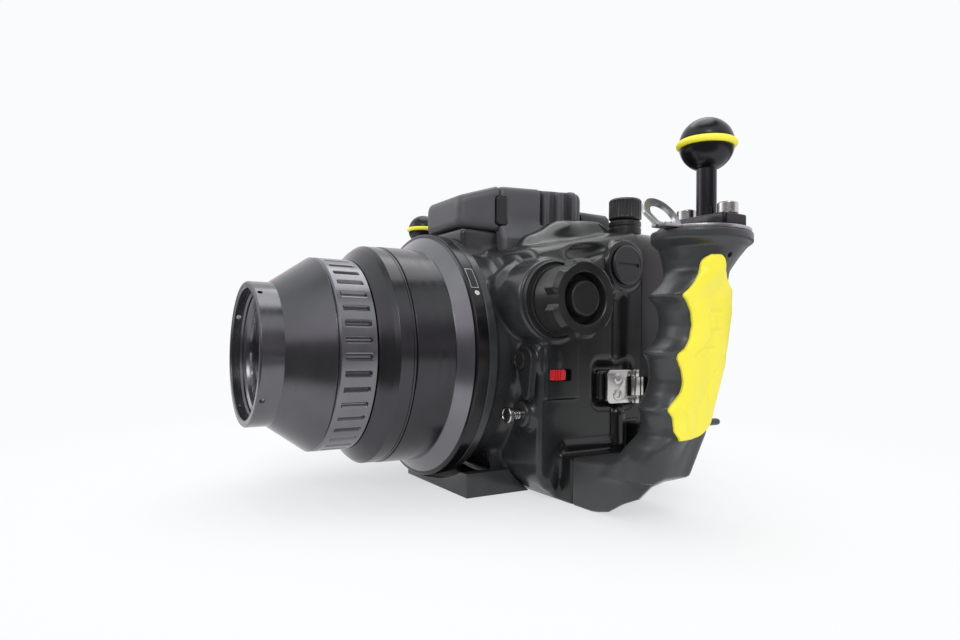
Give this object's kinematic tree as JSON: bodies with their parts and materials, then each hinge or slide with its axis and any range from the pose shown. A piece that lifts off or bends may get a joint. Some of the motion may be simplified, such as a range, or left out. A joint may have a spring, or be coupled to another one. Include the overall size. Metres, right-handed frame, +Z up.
{
  "type": "underwater camera housing",
  "caption": "Sealed metal housing for a reflex camera, with a flat port, side grips, arm balls, a latched back and sealed controls for diving.",
  "frame": {"origin": "on the flat base, on the port's centre plane, below the middle of the case", "axes": "+Z up out of the top of the case, -Y along the port towards the subject, +X towards the viewer's left hand"},
  "size_m": [0.347, 0.2415, 0.1917],
  "materials": {
    "case_black": "hard-anodised, satin",
    "hood_black": "hard-anodised, satin grey-black",
    "port_black": "hard-anodised, semi-matt",
    "knob_black": "moulded, satin",
    "grip_black": "moulded, matt",
    "pad_yellow": "soft, satin",
    "seal_black": "greased",
    "ring_yellow": "soft, satin",
    "slide_red": "moulded",
    "stainless": "turned and brushed",
    "plate_grey": "bead-blasted",
    "port_glass": "coated, clear",
    "window_clear": "clear"
  },
  "bodies": {
    "case": {"front_case": "case_black", "foot_bracket": "case_black", "flash_hood": "hood_black", "hood_front_cover": "hood_black", "hood_plug_left": "knob_black", "hood_plug_right": "knob_black", "camera_tray": "plate_grey", "bulkhead_plug": "knob_black", "focus_knob_base": "knob_black", "latch_base_left": "stainless", "latch_base_right": "stainless", "handle_left": "grip_black", "handle_right": "grip_black", "grip_pad_left": "pad_yellow", "grip_pad_right": "pad_yellow", "strap_plate_left": "plate_grey", "strap_plate_right": "plate_grey", "ball_mount_left": "port_black", "ball_mount_right": "port_black", "ball_ring_left": "ring_yellow", "ball_ring_right": "ring_yellow", "arm_bolt_left_1": "stainless", "arm_bolt_left_2": "stainless", "arm_bolt_right_1": "stainless", "arm_bolt_right_2": "stainless"},
    "port": {"port_flange": "port_black", "port_seal": "seal_black", "port_barrel": "port_black", "port_cone": "port_black", "port_glass": "port_glass", "glass_retaining_ring": "port_black"},
    "grip_ring": {"port_grip_ring": "port_black"},
    "focus": {"focus_knob": "knob_black", "focus_knob_cap": "knob_black", "focus_shaft": "stainless", "focus_gear": "knob_black"},
    "dial": {"main_dial": "knob_black"},
    "top_key": {"top_button": "knob_black"},
    "release": {"lens_release_button": "stainless"},
    "lever": {"side_lever": "knob_black"},
    "slide": {"lock_slide": "slide_red"},
    "trigger": {"shutter_lever": "knob_black"},
    "latch_l": {"latch_lever_left": "stainless"},
    "latch_r": {"latch_lever_right": "stainless"},
    "back": {"rear_case": "case_black", "case_seal": "seal_black", "rear_window": "window_clear", "eyepiece": "knob_black", "eyepiece_glass": "window_clear", "mode_knob_gland": "knob_black"},
    "mode": {"mode_knob": "knob_black"},
    "wheel": {"quick_dial": "knob_black"},
    "key_1": {"rear_button_1": "knob_black"},
    "key_2": {"rear_button_2": "knob_black"},
    "key_3": {"rear_button_3": "knob_black"},
    "key_4": {"rear_button_4": "knob_black"},
    "key_5": {"rear_button_5": "knob_black"}
  },
  "joints": [
    {"name": "port_turn", "type": "hinge", "parent": "case", "child": "port", "pos_m": [0, -0.06, 0.076], "axis": [0, 1, 0], "range_deg": [0, 40]},
    {"name": "grip_ring_turn", "type": "hinge", "parent": "port", "child": "grip_ring", "pos_m": [0, -0.116, 0.076], "axis": [0, 1, 0], "range_deg": [0, 90]},
    {"name": "focus_knob_turn", "type": "hinge", "parent": "case", "child": "focus", "pos_m": [0.083, -0.0195, 0.1063], "axis": [1, 0, 0], "continuous": true},
    {"name": "main_dial_turn", "type": "hinge", "parent": "case", "child": "dial", "pos_m": [-0.066, 0.004, 0.145], "axis": [0, 0, 1], "continuous": true},
    {"name": "top_button_press", "type": "slide", "parent": "case", "child": "top_key", "axis": [0, 0, -1], "range_m": [0, 0.002], "stiffness_N_per_m": 400, "springref_m": -0.001},
    {"name": "lens_release_press", "type": "slide", "parent": "case", "child": "release", "axis": [0, 1, 0], "range_m": [0, 0.005], "stiffness_N_per_m": 400, "springref_m": -0.002},
    {"name": "side_lever_swing", "type": "hinge", "parent": "case", "child": "lever", "pos_m": [0.072, -0.032, 0.0745], "axis": [0, 1, 0], "range_deg": [-15, 15]},
    {"name": "lock_slide_travel", "type": "slide", "parent": "case", "child": "slide", "axis": [0, 1, 0], "range_m": [0, 0.003]},
    {"name": "shutter_lever_pull", "type": "hinge", "parent": "case", "child": "trigger", "pos_m": [-0.0995, -0.008, 0.104], "axis": [-1, 0, 0], "range_deg": [0, 15], "stiffness_Nm_per_rad": 0.2, "springref_deg": -8.59},
    {"name": "latch_left_swing", "type": "hinge", "parent": "case", "child": "latch_l", "pos_m": [0.0839, 0.038, 0.0595], "axis": [0, 0, -1], "range_deg": [0, 100]},
    {"name": "latch_right_swing", "type": "hinge", "parent": "case", "child": "latch_r", "pos_m": [-0.0939, 0.038, 0.0595], "axis": [0, 0, 1], "range_deg": [0, 100]},
    {"name": "rear_case_draw", "type": "slide", "parent": "case", "child": "back", "axis": [0, 1, 0], "range_m": [0, 0.05]},
    {"name": "mode_knob_turn", "type": "hinge", "parent": "back", "child": "mode", "pos_m": [0.053, 0.06, 0.162], "axis": [0, 0, 1], "continuous": true},
    {"name": "quick_dial_turn", "type": "hinge", "parent": "back", "child": "wheel", "pos_m": [-0.062, 0.0715, 0.06], "axis": [0, 1, 0], "continuous": true},
    {"name": "rear_button_1_press", "type": "slide", "parent": "back", "child": "key_1", "axis": [0, -1, 0], "range_m": [0, 0.002], "stiffness_N_per_m": 400, "springref_m": -0.001},
    {"name": "rear_button_2_press", "type": "slide", "parent": "back", "child": "key_2", "axis": [0, -1, 0], "range_m": [0, 0.002], "stiffness_N_per_m": 400, "springref_m": -0.001},
    {"name": "rear_button_3_press", "type": "slide", "parent": "back", "child": "key_3", "axis": [0, -1, 0], "range_m": [0, 0.002], "stiffness_N_per_m": 400, "springref_m": -0.001},
    {"name": "rear_button_4_press", "type": "slide", "parent": "back", "child": "key_4", "axis": [0, -1, 0], "range_m": [0, 0.002], "stiffness_N_per_m": 400, "springref_m": -0.001},
    {"name": "rear_button_5_press", "type": "slide", "parent": "back", "child": "key_5", "axis": [0, -1, 0], "range_m": [0, 0.002], "stiffness_N_per_m": 400, "springref_m": -0.001}
  ]
}
